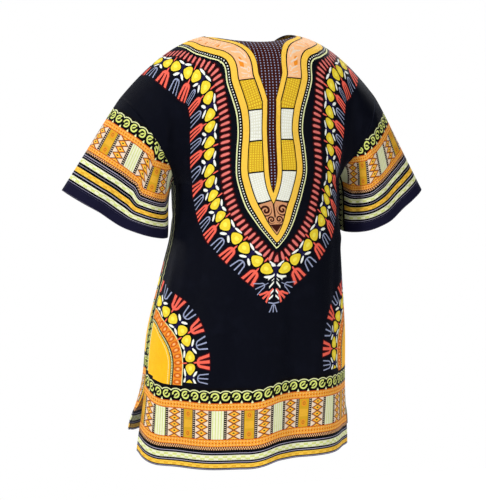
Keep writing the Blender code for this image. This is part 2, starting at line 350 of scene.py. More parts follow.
def creaseLift(creases, key, across, down):
    lift = np.zeros_like(across)
    for creaseKey, start, end, width, depth, bow in creases:
        if creaseKey != key:
            continue
        runX, runY = end[0] - start[0], end[1] - start[1]
        length = math.hypot(runX, runY)
        along = ((across - start[0]) * runX + (down - start[1]) * runY) / length ** 2
        aside = ((down - start[1]) * runX - (across - start[0]) * runY) / length
        along = np.clip(along, 0, 1)
        grown = np.sin(np.pi * along)
        wide = width * (0.7 + 0.5 * along)
        lift = lift + depth * grown * hump(aside - bow * grown, wide)
    return lift


def arcAlong(points, axis):
    # millimetres of cloth from the first row or column
    steps = np.linalg.norm(np.diff(points, axis=axis), axis=-1) * 1000
    run = np.cumsum(steps, axis=axis)
    first = np.zeros_like(np.take(run, [0], axis=axis))
    return np.concatenate([first, run], axis=axis)


def sampleChart(chart, row, column):
    # the chart's value between its four nearest entries
    i = np.clip(row.astype(int), 0, chart.shape[0] - 2)
    j = np.clip(column.astype(int), 0, chart.shape[1] - 2)
    s, t = row - i, column - j
    upper = blend(chart[i, j], chart[i, j + 1], t)
    lower = blend(chart[i + 1, j], chart[i + 1, j + 1], t)
    return blend(upper, lower, s)


def panelChart(face, across, level):
    # across the cloth, down from the shoulder line, up from the hem, and in from the side edge
    rows, columns = 800, 400
    spots = panelPoint(
        face, np.linspace(-1, 1, columns + 1)[None, :], np.linspace(0, 2, rows + 1)[:, None]
    )
    outwards = arcAlong(spots, 1)
    outwards = outwards - outwards[:, columns // 2:columns // 2 + 1]
    down = arcAlong(spots, 0)
    up = down[-1:] - down
    inside = np.where(outwards < 0, outwards - outwards[:, :1], outwards[:, -1:] - outwards)
    row, column = level * rows / 2, (across + 1) * columns / 2
    return [sampleChart(chart, row, column) for chart in (outwards, down, up, inside)]


printLines = {  # the print's guide lines, in millimetres across and down
    # the pale line round the medallion, out to the shoulder at its top
    "outline": (
        (144, 0), (137, 60), (114, 93), (88, 117), (84, 154), (75, 186), (67, 215), (64, 249),
        (68, 285), (70, 324), (63, 357), (52, 390), (34, 426), (18, 450), (0, 472),
    ),
    "bars": (
        (172, 0), (160, 30), (147, 64), (127, 94), (107, 122), (99, 155), (96, 190), (91, 222),
        (91, 250), (93, 285), (93, 318), (88, 356), (78, 392), (65, 420), (49, 443), (33, 463),
        (16, 481), (0, 487),
    ),
    "garland": (
        (192, 0), (186, 36), (174, 67), (154, 98), (134, 124), (124, 156), (121, 191), (121, 220),
        (123, 250), (126, 284), (126, 318), (120, 350), (111, 382), (98, 412), (80, 440),
        (59, 468), (37, 491), (14, 510), (0, 512),
    ),
}

# distance along the garland from its tip, and petals passed: closer together half way up
petalCount = ((0, 0.0), (158, 5.0), (352, 13.0), (492, 18.0), (620, 22.0))


def smoothLine(points, step=1.0):
    # an even run of spots along a smooth line through the points
    points = np.array(points, float)
    padded = np.vstack([2 * points[0] - points[1], points, 2 * points[-1] - points[-2]])
    t = np.linspace(0, 1, 24, endpoint=False)[:, None]
    spots = []
    for a, b, c, d in zip(padded, padded[1:], padded[2:], padded[3:]):
        spots.append(0.5 * (2 * b + (c - a) * t + (2 * a - 5 * b + 4 * c - d) * t ** 2
                            + (3 * b - a - 3 * c + d) * t ** 3))
    spots = np.vstack(spots + [points[-1:]])
    run = np.concatenate([[0], np.cumsum(np.linalg.norm(np.diff(spots, axis=0), axis=1))])
    even = np.arange(0, run[-1], step)
    return np.column_stack([np.interp(even, run, spots[:, 0]), np.interp(even, run, spots[:, 1])])


def alongLine(name, across, down):
    # distance along a guide line up from its tip, and distance outside it
    line = smoothLine(printLines[name])[::-1]
    reach = np.abs(across).ravel()
    depth = down.ravel()
    tangents = np.gradient(line, axis=0)
    tangents /= np.linalg.norm(tangents, axis=1, keepdims=True)
    nearest = np.empty(len(reach), int)
    for start in range(0, len(reach), 4000):
        part = slice(start, start + 4000)
        gap = (reach[part, None] - line[:, 0]) ** 2 + (depth[part, None] - line[:, 1]) ** 2
        nearest[part] = np.argmin(gap, axis=1)
    offX, offY = reach - line[nearest, 0], depth - line[nearest, 1]
    tangent = tangents[nearest]
    run = nearest + offX * tangent[:, 0] + offY * tangent[:, 1]
    aside = -offX * tangent[:, 1] + offY * tangent[:, 0]
    return run.reshape(across.shape), aside.reshape(across.shape)


cloth = {
    "thickness": 0.0008,
    "hemWidth": 22,  # millimetres turned in at the hem
    "cuffHemWidth": 20,
    "hemStep": 0.8,  # how sharply the turned hem begins
}

bakingPlan = {  # shares of the baking map
    "margin": 0.005,
    "cloth": 0.97,  # both sides together
    "reverse": 0.36,  # the reverse alone
    "outerHigh": 0.99,
    "reverseHigh": 0.6,
    "rimBase": 0.7,
    "rimHigh": 0.29,
    "rimLeft": 0.80,
    "rimRight": 0.86,
}


def gridNormals(points):
    down = np.gradient(points, axis=0)
    out = np.gradient(points, axis=1)
    normal = np.cross(out, down)
    size = np.linalg.norm(normal, axis=-1, keepdims=True)
    return normal / np.maximum(size, 1e-12)


def hemmedThickness(up, hemWidth):
    return cloth["thickness"] * (1 + ease((hemWidth - up) * cloth["hemStep"]))


def clothShell(name, points, normals, thickness, places, materials, zoneOf):
    # points: rows x columns on the outer side; normals point outwards
    rows, columns = points.shape[:2]
    outer = points.reshape(-1, 3)
    inner = (points - normals * thickness[..., None]).reshape(-1, 3)
    count = rows * columns
    index = np.arange(count).reshape(rows, columns)
    corners = [index[:-1, :-1], index[1:, :-1], index[1:, 1:], index[:-1, 1:]]
    quads = np.stack(corners, axis=-1).reshape(-1, 4)
    a, b, c, d = (outer[quads[:, corner]] for corner in range(4))
    if np.sum(np.cross(c - a, d - b) * normals.reshape(-1, 3)[quads[:, 0]]) < 0:
        quads = quads[:, ::-1]
    inside = quads[:, ::-1] + count
    # a wall round the cut edge joins the two sides
    edges = set()
    for corner in range(4):
        edges.update(zip(quads[:, corner].tolist(), quads[:, (corner + 1) % 4].tolist()))
    loop = np.concatenate([index[0], index[1:, -1], index[-1, -2::-1], index[-2::-1, 0]]).tolist()
    rim = []
    for start, end in zip(loop, loop[1:]):
        if (start, end) in edges:
            start, end = end, start
        rim.append((start, end, end + count, start + count))
    faces = np.vstack([quads, inside, np.array(rim)])
    mesh = bpy.data.meshes.new(name)
    mesh.from_pydata(np.vstack([outer, inner]).tolist(), [], faces.tolist())
    piece = bpy.data.objects.new(name, mesh)
    bpy.context.collection.objects.link(piece)
    for label, values in places.items():
        attribute = mesh.attributes.new(label, "FLOAT_VECTOR", "POINT")
        flat = values.reshape(-1, 3)
        attribute.data.foreach_set("vector", np.vstack([flat, flat]).ravel())
    attribute = mesh.attributes.new("reverse", "FLOAT", "POINT")
    attribute.data.foreach_set("value", np.repeat([0.0, 1.0], count))
    for material in materials:
        mesh.materials.append(material)
    zone = zoneOf(quads)
    mesh.polygons.foreach_set("material_index", np.concatenate([zone, zone, np.zeros(len(rim), int)]))
    bakingMap(mesh, rows, columns, quads, inside, len(rim))
    mesh.polygons.foreach_set("use_smooth", np.ones(len(faces), bool))
    mesh.update()
    mesh.validate()
    return piece


def bakingMap(mesh, rows, columns, quads, inside, rimCount):
    # the outer side fills most of the map, the reverse a strip beside it, the cut edge a thin one
    count = rows * columns
    across = (np.arange(count) % columns) / (columns - 1)
    down = (np.arange(count) // columns) / (rows - 1)
    margin, share = bakingPlan["margin"], bakingPlan["reverse"]
    outer = np.stack([
        margin + across[quads] * (bakingPlan["cloth"] - share),
        margin + bakingPlan["outerHigh"] * down[quads],
    ], axis=-1)
    reverse = inside - count
    inner = np.stack([
        1 - margin - share + across[reverse] * share,
        margin + bakingPlan["reverseHigh"] * down[reverse],
    ], axis=-1)
    step = bakingPlan["rimHigh"] / rimCount
    low = bakingPlan["rimBase"] + step * np.arange(rimCount)
    leftSide = np.full(rimCount, bakingPlan["rimLeft"])
    rightSide = np.full(rimCount, bakingPlan["rimRight"])
    rim = np.stack([
        np.stack([leftSide, low], -1), np.stack([leftSide, low + step], -1),
        np.stack([rightSide, low + step], -1), np.stack([rightSide, low], -1),
    ], axis=1)
    layer = mesh.uv_layers.new(name="OFBake")
    layer.data.foreach_set("uv", np.concatenate([outer, inner, rim]).ravel())


inks = {  # red, green, blue as mixed for the screens
    "ground": (4, 6, 17),
    "navy": (20, 19, 42),
    "black": (5, 4, 7),
    "line": (226, 230, 170),
    "white": (236, 238, 230),
    "pale": (222, 222, 204),
    "lemon": (243, 228, 84),
    "yellow": (234, 208, 54),
    "golden": (242, 194, 72),
    "amber": (222, 168, 48),
    "sun": (253, 186, 30),
    "gold": (206, 158, 36),
    "orange": (230, 138, 38),
    "peach": (243, 184, 130),
    "blush": (230, 206, 180),
    "tan": (206, 146, 104),
    "coral": (238, 100, 82),
    "salmon": (224, 116, 108),
    "rust": (196, 78, 30),
    "maroon": (70, 10, 14),
    "brown": (58, 20, 12),
    "violet": (24, 20, 62),
    "mist": (150, 158, 188),
    "green": (212, 220, 118),
    "cream": (228, 228, 196),
    "check": (206, 214, 128),
    "lilac": (158, 154, 176),
}


def ink(name):
    shares = [value / 255 for value in inks[name]]
    return tuple(
        share / 12.92 if share <= 0.04045 else ((share + 0.055) / 1.055) ** 2.4 for share in shares
    ) + (1.0,)


class Field:
    # a number that varies over the cloth: sums on it become math nodes
    def __init__(self, socket):
        self.socket = socket

    def __abs__(self):
        return calc("ABSOLUTE", self)


def sumOf(kind):
    return lambda field, other: calc(kind, field, other)


def sumFromRight(kind):
    return lambda field, other: calc(kind, other, field)


sums = {
    "add": "ADD", "sub": "SUBTRACT", "mul": "MULTIPLY", "truediv": "DIVIDE",
    "mod": "FLOORED_MODULO", "pow": "POWER",
    "lt": "LESS_THAN", "gt": "GREATER_THAN", "and": "MULTIPLY", "or": "MAXIMUM",
}
for sign, kind in sums.items():
    setattr(Field, f"__{sign}__", sumOf(kind))
for sign in ("add", "sub", "mul"):
    setattr(Field, f"__r{sign}__", sumFromRight(sums[sign]))


def join(tree, value, socket):
    if isinstance(value, Field):
        tree.links.new(value.socket, socket)
    else:
        socket.default_value = value


def calc(kind, *values):
    tree = next(value.socket.id_data for value in values if isinstance(value, Field))
    node = tree.nodes.new("ShaderNodeMath")
    node.operation = kind
    for slot, value in enumerate(values):
        join(tree, value, node.inputs[slot])
    return Field(node.outputs[0])


def lesser(a, b):
    return calc("MINIMUM", a, b)


def greater(a, b):
    return calc("MAXIMUM", a, b)


def squared(a):
    return calc("MULTIPLY", a, a)


def oval(x, y, halfX, halfY):
    # below 1 inside an oval
    return squared(x / halfX) + squared(y / halfY)


def turned(x, y, degrees):
    c, s = math.cos(math.radians(degrees)), math.sin(math.radians(degrees))
    return calc("MULTIPLY_ADD", x, c, y * s), calc("MULTIPLY_ADD", x, -s, y * c)


def between(value, low, high):
    return abs(value - (low + high) / 2) < (high - low) / 2


def fold(value, pitch):
    # distance from the nearest whole number of pitches
    return calc("PINGPONG", value, pitch / 2)


def paint(ground, mask, colour):
    tree = mask.socket.id_data
    node = tree.nodes.new("ShaderNodeMix")
    node.data_type = "RGBA"
    join(tree, mask, node.inputs[0])
    join(tree, ground, node.inputs[6])
    join(tree, ink(colour) if isinstance(colour, str) else colour, node.inputs[7])
    return Field(node.outputs[2])


def layered(ground, *layers):
    # each layer is a mask and its colour, the last one on top
    for mask, colour in layers:
        ground = paint(ground, mask, colour)
    return ground


def bands(value, rows):
    # colours by steps of a value: rows of (start, ink)
    tree = value.socket.id_data
    low, high = rows[0][0], rows[-1][0] + 1
    node = tree.nodes.new("ShaderNodeValToRGB")
    node.color_ramp.interpolation = "CONSTANT"
    steps = node.color_ramp.elements
    for start, colour in rows[1:]:
        steps.new((start - low) / (high - low)).color = ink(colour)
    steps[0].position = 0
    steps[0].color = ink(rows[0][1])
    steps.remove(steps[len(steps) - 1])
    join(tree, (value - low) / (high - low), node.inputs[0])
    return Field(node.outputs[0])


def placeOf(tree, name):
    node = tree.nodes.new("ShaderNodeAttribute")
    node.attribute_name = name
    split = tree.nodes.new("ShaderNodeSeparateXYZ")
    tree.links.new(node.outputs["Vector"], split.inputs[0])
    return [Field(socket) for socket in split.outputs]


# the print's motifs, in millimetres
garland = {
    "pitch": 27.5,  # from one yellow petal to the next
    "petalLong": 10.8,
    "petalWide": 9.4,
    "tulipStart": 16,
    "tulipReach": 39,
    "tulipWide": 6.6,
    "tulipThick": 2.2,
    "tulipEdge": 1.5,  # dark red round the tulips
    "sprayThick": 1.05,
    "flare": 0.15,
    "backing": 12.5,  # half the black band behind the petals
}

bars = {
    "pitch": 11.3,
    "halfWide": 2.5,
    "halfLong": 8.6,
    "backing": 11.4,
}


def prongs(aside, out, start, reach, wide, thick, flare=garland["flare"]):
    # a cup whose two sides lean apart round a middle prong
    grown = greater(out - (start + wide), 0.0)
    low = lesser(out - (start + wide), 0.0)
    far = calc("SQRT", squared(aside) + squared(low))
    cup = abs(far - calc("MULTIPLY_ADD", grown, flare, wide)) < thick
    return (cup | (aside < thick)) & between(out, start - thick, reach)


def flowerGarland(ground, run, out, sprayFrom=None):
    # coral tulips and pale sprays take turns between pairs of yellow petals
    pitch = garland["pitch"]
    fromSpray = fold(run, 2 * pitch)
    fromTulip = pitch - fromSpray
    start, reach, wide = garland["tulipStart"], garland["tulipReach"], garland["tulipWide"]
    thick, edge = garland["tulipThick"], garland["tulipEdge"]
    stem = (fromTulip < 1.4) & between(out, -17, start)
    spray = prongs(fromSpray, out, start + 1, reach - 1, wide + 0.6, garland["sprayThick"])
    if sprayFrom is not None:
        spray = spray & (run > sprayFrom)
    outerLeaf = oval(*turned(fromSpray - 7.2, out - 11.0, 34), 6.6, 2.3)
    innerLeaf = oval(*turned(fromSpray - 8.4, out + 11.0, -12), 7.8, 2.1)
    along = fromSpray - pitch * 0.55
    widening = calc("MULTIPLY_ADD", along, 0.40 / garland["petalLong"], 1.0)
    petal = squared(along / garland["petalLong"]) + squared(out / (garland["petalWide"] * widening))
    return layered(
        ground,
        (prongs(fromTulip, out, start, reach + edge, wide, thick + edge), "maroon"),
        (abs(out) < garland["backing"], "black"),
        (oval(fromSpray, out, 4.6, 12) < 1, "violet"),
        (prongs(fromTulip, out, start, reach, wide, thick) | stem, "coral"),
        (spray, "mist"),
        (lesser(outerLeaf, innerLeaf) < 1, "white"),
        (petal < 1.5, "black"),
        (petal < 1, "yellow"),
        (oval(along - 2, out, 4.5, 3.4) < 1, "lemon"),
    )


def barRow(ground, run, out):
    # short salmon bars with dark red round them
    bar = squared(fold(run, bars["pitch"]) / bars["halfWide"])
    bar = bar + squared(squared(out / bars["halfLong"]))
    backing = bars["backing"]
    return layered(
        ground,
        (abs(out) < backing, "black"),
        ((bar < 3.2) & (abs(out) < backing - 0.4), "maroon"),
        (bar < 1, "salmon"),
    )


def spiral(x, y, radius, pitch, share=0.6):
    far = calc("SQRT", squared(x) + squared(y))
    turn = calc("ARCTAN2", y, x) / (2 * math.pi)
    return ((far / pitch - turn) % 1.0 < share) & (far < radius)


medallion = {
    "lean": ((100, 0), (250, 8), (390, 9), (450, 2.5)),  # the middle hangs a little to one side
    # inks by distance in from the outline
    "bands": (
        (-6, "ground"), (0, "line"), (2.6, "black"), (10.4, "golden"), (21.8, "black"),
        (24, "peach"), (50, "black"), (52.4, "golden"), (61.2, "black"), (62.4, "brown"),
    ),
    "boxesIn": 24,  # the strip of boxes, from here to there inside the outline
    "boxesTo": 50,
    "coreIn": 62.4,
    "vTop": 196,  # above here the golden V follows the outline
    "outerV": (17, 386, 74, 2.3),  # half width, lowest point, run and curve
    "coreV": (7.8, 364, 54, 2.6),
    "boxHigh": 57.5,
    "boxesStart": 152,
    "boxesEnd": 383,
}


def halfV(down, shape):
    half, tip, run, curve = shape
    grown = greater((down - (tip - run)) / run, 0.0)
    return half * (1 - grown ** curve)


def insideMedallion(across, down, inwards, run):
    # bands follow the outline; the middle has its own golden V
    side = abs(across)
    boxesIn, boxesTo = medallion["boxesIn"], medallion["boxesTo"]
    inV = down > medallion["vTop"]
    dots = oval(fold(run, 5.2), inwards - 6.4, 1.2, 1.2) < 1
    narrow = (inwards < boxesTo) | inV
    inBoxes = narrow & (inwards > boxesIn) & between(down, medallion["boxesStart"], 400)
    place = (down - medallion["boxesEnd"]) / medallion["boxHigh"]
    pale = (place * 0.5) % 1.0 > 0.5
    specks = (fold(run, 4.6) < 1.3) & (fold(inwards, 4.6) < 1.3)
    yoke = between(inwards, boxesIn + 2, boxesTo - 2) & (down < medallion["boxesStart"] - 2)
    stroke = (fold(calc("MULTIPLY_ADD", inwards, 0.45, run), 9.4) < 1.2) & between(inwards, 30, 43)
    loop = between(oval(fold(run, 18.8), inwards - 44, 4.6, 3.2), 0.4, 1.1)
    patch = oval(fold(run + 9, 37.6), inwards - 33, 7, 4) < 1
    fromBoxes = calc("MULTIPLY_ADD", side, -0.2, down) - (medallion["boxesEnd"] - 4)
    field = (fromBoxes > 0) & (inwards > boxesIn)
    scrolls = spiral(side - 16, down - 398, 11.5, 7) | spiral(side - 7.4, down - 416, 7.4, 5)
    stem = (side < 1.6) & between(down, 386, 412)
    wedge = between(down, 425, 440) & (side < (440 - down) * 0.8)
    outerHalf, coreHalf = halfV(down, medallion["outerV"]), halfV(down, medallion["coreV"])
    core = ((side < coreHalf) & inV) | ((inwards > medallion["coreIn"]) & (down < medallion["vTop"]))
    beads = oval(fold(side - 3.2, 6.8), fold(down, 5.4), 1.1, 1.3) < 1
    return layered(
        bands(inwards, medallion["bands"]),
        (dots, "white"),
        # boxes beside the golden V, pale and speckled gold in turn
        (inBoxes, "gold"),
        (inBoxes & pale, "pale"),
        (inBoxes & specks, "yellow"),
        (inBoxes & specks & pale, "white"),
        (inBoxes & (fold(place, 1.0) < 0.024), "black"),
        # slanting strokes and loops on the peach band over the shoulders
        (yoke & patch, "orange"),
        (yoke & (stroke | loop), "blush"),
        # below the boxes, a tan field with scrolls
        (field, "tan"),
        ((abs(fromBoxes) < 1.5) & (inwards > boxesIn), "black"),
        ((scrolls | stem | wedge) & field, "brown"),
        # the golden V and its dark middle
        ((side < outerHalf + 2.0) & inV, "black"),
        ((side < outerHalf) & inV, "golden"),
        ((side < coreHalf + 1.2) & inV, "black"),
        (core, "brown"),
        (beads & core, "mist"),
    )


# top, lean, thickness, nearest and farthest of each stroke beside the middle
tipChevrons = (
    (501.0, -0.64, 3.4, 2.5, 14),
    (514.6, 0.77, 3.8, 2.5, 14),
    (523.0, 0.9, 2.0, 2.5, 7),
    (527.6, 1.15, 4.4, 2.5, 11),
    (543.4, 1.1, 4.2, 2.0, 7.5),
    (553.6, 0.86, 4.0, 2.5, 10),
)


def chevron(side, down, top, lean, thick, near, far):
    # a stroke each side of the middle, falling outwards from its top
    return between(calc("MULTIPLY_ADD", side, -lean, down), top, top + thick) & between(side, near, far)


def outwardProngs(side, down, start, degrees, stem, reach, wide, thick):
    # a small flower each side of the middle, pointing outwards and down
    along, aside = turned(side - start[0], down - start[1], degrees)
    flower = prongs(abs(aside), along, stem, reach, wide, thick, 0.5)
    return flower | ((abs(aside) < thick * 0.7) & between(along, 0, stem))


def tipMotif(ground, across, down):
    # stacked white chevrons, two small tulips, two sprays and a plume below the tip
    side = abs(across)
    chevrons = chevron(side, down, *tipChevrons[0])
    for stroke in tipChevrons[1:]:
        chevrons = chevrons | chevron(side, down, *stroke)
    spray = outwardProngs(side, down, (13, 534), 22, 8, 26, 5.4, 0.95)
    bar = chevron(side, down, 571.5, -0.2, 2.2, -1, 11)
    plume = prongs(side, down - 572, 3, 17, 3.4, 0.95, 0.4)
    return layered(
        ground,
        (spray | plume | bar, "mist"),
        (outwardProngs(side, down, (3, 545), 43, 11, 26, 5.2, 2.1), "coral"),
        (chevrons, "white"),
    )


border = {
    # what lies at each height up from the hem edge
    "hem": (
        (0, "black"), (1.2, "lilac"), (2.2, "black"), (4, "golden"), (11.4, "black"), (13.6, "lilac"),
        (14.9, "black"), (18, "cream"), (27.5, "black"), (30.6, "lilac"), (31.9, "black"), (37, "maroon"),
        (43.5, "orange"), (57, "cream"), (112, "orange"), (125, "black"), (154, "ground"),
    ),
    # and at a cuff, which has a plain edge and one more pale stripe
    "cuff": (
        (0, "navy"), (21, "lilac"), (22.2, "black"), (25.5, "cream"), (34.5, "black"), (38.6, "lilac"),
        (39.9, "black"), (44, "golden"), (52.5, "black"), (56.4, "lilac"), (57.7, "black"),
        (62, "cream"), (70.5, "black"), (73.8, "lilac"), (75, "black"), (78, "lilac"), (79.2, "black"),
        (83, "maroon"), (88.5, "orange"), (98, "cream"), (145, "orange"), (156, "black"), (184, "ground"),
    ),
    "columnPitch": 118.5,
    "scrollPitch": 20,
    "scrollsUp": 12.5,  # the rings' middle above the band below them
    "hemShift": 1145,  # where the pattern starts on the panels and on the sleeves
    "cuffShift": 1224,
}


def scrollRow(ground, run, up, size=1.0, colour="green"):
    # rolled rings in a row under a scalloped line; up is 0 at the middle of the rings
    pitch = border["scrollPitch"] * size
    turn = calc("MULTIPLY_ADD", run % (2 * pitch) > pitch, 2.0, -1.0)
    x = run % pitch - pitch / 2
    far = calc("SQRT", squared(x) + squared(up))
    ring = abs(far - 6.3 * size) < 1.5 * size
    mouth = oval(x * turn + 5.6 * size, up * turn - 3.6 * size, 2.6 * size, 2.8 * size) > 1
    hookX, hookY = turned(x * turn - 0.4 * size, up * turn - 0.6 * size, -38)
    hook = oval(hookX, hookY, 4.4 * size, 1.4 * size) < 1
    scallop = abs(calc("SQRT", squared(x) + squared(up + 5 * size)) - 15.8 * size) < 0.95 * size
    return layered(ground, ((ring & mouth) | hook, colour), (scallop & (up > 3 * size), "line"))


def columnBand(ground, run, up, low, high):
    # upright columns: gold with rosettes, diamonds, and plain pale ones
    x = fold(run, border["columnPitch"])
    inBand = between(up, low, high)
    part = (up - low) / (high - low)
    rosette = oval(x, fold(part - 0.17, 0.66) * (high - low), 5.0, 6.0)
    beside = abs(x - 28.7)
    lattice = beside / 11.5 + fold(up - low, 11.9) / 5.95
    gaps = beside / 9 + fold(up - low + 5.95, 11.9) / 4.6
    inDiamonds = inBand & (beside < 13.2)
    dashed = (between(x, 10.8, 14.8) | between(x, 42.4, 46.8)) & (fold(up, 3.9) < 1.45)
    rules = (abs(beside - 13.8) < 0.6) | (abs(x - 10) < 0.6) | (abs(x - 47.2) < 0.6)
    return layered(
        ground,
        (inBand & (x > 47) & (fold(run, 5.2) < 0.8), "check"),
        (inBand & (x < 10), "gold"),
        (inBand & (x < 8) & (fold(part - 0.5, 1.0) < 0.13), "amber"),
        (inBand & between(rosette, 0.55, 1.0), "orange"),
        (inBand & between(rosette, 0.1, 0.3), "rust"),
        (inDiamonds, "blush"),
        (inDiamonds & (gaps < 0.75), "peach"),
        (inDiamonds & (lattice < 1.16), "brown"),
        (inDiamonds & (lattice < 0.90), "orange"),
        (inDiamonds & (lattice < 0.58), "golden"),
        (inDiamonds & (lattice < 0.26), "black"),
        (inBand & (between(x, 10, 15) | between(x, 42.3, 47)), "blush"),
        (inBand & (dashed | rules), "black"),
    )


def zigzagBand(ground, run, up, low, high):
    inBand = between(up, low, high)
    half = (high - low) / 2
    lattice = fold(run, 6.2) / 3.1 + fold(up - low, half) / (half / 2)
    return layered(
        ground,
        (inBand & between(lattice, 0.84, 1.10), "golden"),
        (inBand & (lattice < 0.5), "rust"),
        (inBand & (lattice > 1.7), "line"),
        ((abs(up - low) < 0.7) | (abs(up - high) < 0.7), "rust"),
    )


def borderPrint(run, up, name):
    rows = border[name]
    heights = [start for start, _ in rows]
    ground = bands(up, rows)
    teeth, zigzagLow, columns, zigzagTop, scrollsLow = heights[-6:-1]
    # small checks in the pale and golden stripes
    checks = calc("MULTIPLY_ADD", up % 9.0 > 4.5, 0.5, run / 17.0) % 1.0 > 0.5
    for (start, colour), end in zip(rows, heights[1:]):
        if end < teeth and colour in ("cream", "golden"):
            inside = between(up, start + 1.2, end - 1.2) & checks
            ground = paint(ground, inside, "check" if colour == "cream" else "amber")
    ground = columnBand(ground, run, up, columns, zigzagTop)
    ground = zigzagBand(ground, run, up, zigzagTop, scrollsLow)
    ground = zigzagBand(ground, run, up, zigzagLow, columns)
    step = (up > (teeth + zigzagLow) / 2) * 2.2
    blocks = between(up, teeth + 0.6, zigzagLow - 0.4) & (fold(run + step, 4.4) < 1.0)
    ground = layered(ground, (between(up, teeth, zigzagLow), "black"), (blocks, "peach"))
    base = up - scrollsLow
    ground = scrollRow(ground, run, base - border["scrollsUp"])
    fangs = (fold(run, border["scrollPitch"]) < (5.5 - base) * 0.5) & (base > 0)
    return paint(ground, fangs, "line")


arch = {
    "centreIn": 15,  # the arch's centre, in from the side edge and up from the hem
    "centre": 185,
    "strip": 14,  # width of the ring strip up the side edge
    "stripTop": 250,
    "stripEdge": 1.6,
    "garland": 108,  # from the centre to the middle of the flower garland
    "flowersFrom": 161,
    "ringsOut": 81.8,
    # inks by distance out from the centre
    "bands": (
        (0, "sun"), (66, "black"), (67.5, "line"), (70, "black"), (72.4, "orange"),
        (91, "line"), (92.4, "black"), (94.5, "ground"),
    ),
}


def archPrint(inside, up):
    # a golden arch at the side seam, ringed by loops and the flower garland
    over = inside - arch["centreIn"]
    rise = greater(up - arch["centre"], 0.0)
    far = calc("SQRT", squared(over) + squared(rise))
    turn = calc("ARCTAN2", rise, over)
    below = lesser(up - arch["centre"], 0.0)
    run = turn * arch["garland"] + below + 0.5 * garland["pitch"]
    ring = oval(fold(turn * 82 + below, 12.2), far - arch["ringsOut"], 4.3, 7.4)
    ground = layered(
        bands(far, arch["bands"]),
        (oval(fold(run, 4.6), far - 68.8, 1.0, 1.0) < 1, "brown"),
        (between(far, 60.6, 62) & (fold(run, 3.4) < 1.0), "line"),
        (between(ring, 0.48, 1.15), "rust"),
        (ring < 0.14, "peach"),
    )
    ground = paint(ground, up > arch["flowersFrom"], flowerGarland(ground, run, far - arch["garland"]))
    # a strip of rings up the side edge, wide beside the arch and narrow above it
    wide = (inside < arch["strip"]) & (up < arch["stripTop"])
    edge = arch["strip"] - arch["stripEdge"]
    ground = layered(ground, (wide | (inside < 9), "black"), (wide & (inside > edge), "line"))
    rings = scrollRow(ground, up, inside - 6.5, 0.62)
    chain = abs(calc("MULTIPLY_ADD", calc("SINE", up / 2.3), 1.2, inside) - 6.2) < 0.8
    return layered(ground, (wide & (inside < edge), rings), (chain & (up > arch["stripTop"]), "line"))


finish = {  # how the cloth itself looks
    "roughness": (0.56, 0.74),
    "sheen": 0.06,
    "sheenRoughness": 0.3,
    "sheenTint": (0.55, 0.65, 1.0, 1.0),
    "specular": 0.05,
    "threads": 0.7,  # millimetres from thread to thread
    "weaveStrength": 0.5,
    "weaveDepth": 0.00012,
    "reverseShare": 0.5,
    "reverseInk": (0.030, 0.033, 0.045, 1.0),
    "dyeScale": 34.0,
    "dyeShare": 0.16,
    "dyeInk": (0.035, 0.04, 0.075, 1.0),
    "slubShare": 0.9,
    "rubbedEdge": 1.2,  # millimetres of paler cloth at the very edge
    "rubbedShare": 0.25,
}


def noiseOf(tree, vector, scale, detail):
    node = tree.nodes.new("ShaderNodeTexNoise")
    node.inputs["Scale"].default_value = scale
    node.inputs["Detail"].default_value = detail
    tree.links.new(vector, node.inputs["Vector"])
    return Field(node.outputs[0])


def weaveBump(tree, shader, height, strength, depth):
    bump = tree.nodes.new("ShaderNodeBump")
    bump.inputs["Strength"].default_value = strength
    bump.inputs["Distance"].default_value = depth
    join(tree, height, bump.inputs["Height"])
    tree.links.new(bump.outputs[0], shader.inputs["Normal"])


def clothMaterial(name, draw):
    material = bpy.data.materials.new(name)
    material.use_nodes = True
    tree = material.node_tree
    shader = tree.nodes["Principled BSDF"]
    across, down, up = placeOf(tree, "place")
    colour = draw(tree, across, down, up)
    # the reverse is paler and duller, the dye uneven, the yarn slubby and the edge rubbed
    side = tree.nodes.new("ShaderNodeAttribute")
    side.attribute_name = "reverse"
    reverse = Field(side.outputs["Fac"])
    coords = tree.nodes.new("ShaderNodeTexCoord")
    uneven = noiseOf(tree, coords.outputs["Object"], finish["dyeScale"], 3.0)
    yarn = tree.nodes.new("ShaderNodeCombineXYZ")
    join(tree, across * 0.10, yarn.inputs[0])
    join(tree, down * 1.1, yarn.inputs[1])
    slubs = noiseOf(tree, yarn.outputs[0], 1.0, 1.0)
    colour = layered(
        colour,
        (reverse * finish["reverseShare"], finish["reverseInk"]),
        (greater(uneven - 0.5, 0.0) * finish["dyeShare"], finish["dyeInk"]),
        (greater(slubs - 0.55, 0.0) * finish["slubShare"], "black"),
        ((up < finish["rubbedEdge"]) * finish["rubbedShare"], "lilac"),
    )
    join(tree, colour, shader.inputs["Base Color"])
    low, high = finish["roughness"]
    join(tree, calc("MULTIPLY_ADD", uneven, high - low, low), shader.inputs["Roughness"])
    shader.inputs["Sheen Weight"].default_value = finish["sheen"]
    shader.inputs["Sheen Roughness"].default_value = finish["sheenRoughness"]
    shader.inputs["Sheen Tint"].default_value = finish["sheenTint"]
    shader.inputs["Specular IOR Level"].default_value = finish["specular"]
    wave = 2 * math.pi / finish["threads"]
    weave = calc("SINE", across * wave) * calc("SINE", down * wave) + slubs
    weaveBump(tree, shader, weave, finish["weaveStrength"], finish["weaveDepth"])
    return material


def plainPrint(tree, across, down, up):
    return ink("ground")


def medallionPrint(tree, across, down, up):
    inside, inwards, run = placeOf(tree, "edge")
    leaned = placeOf(tree, "petals")[1]
    return insideMedallion(leaned, down, inwards, run)


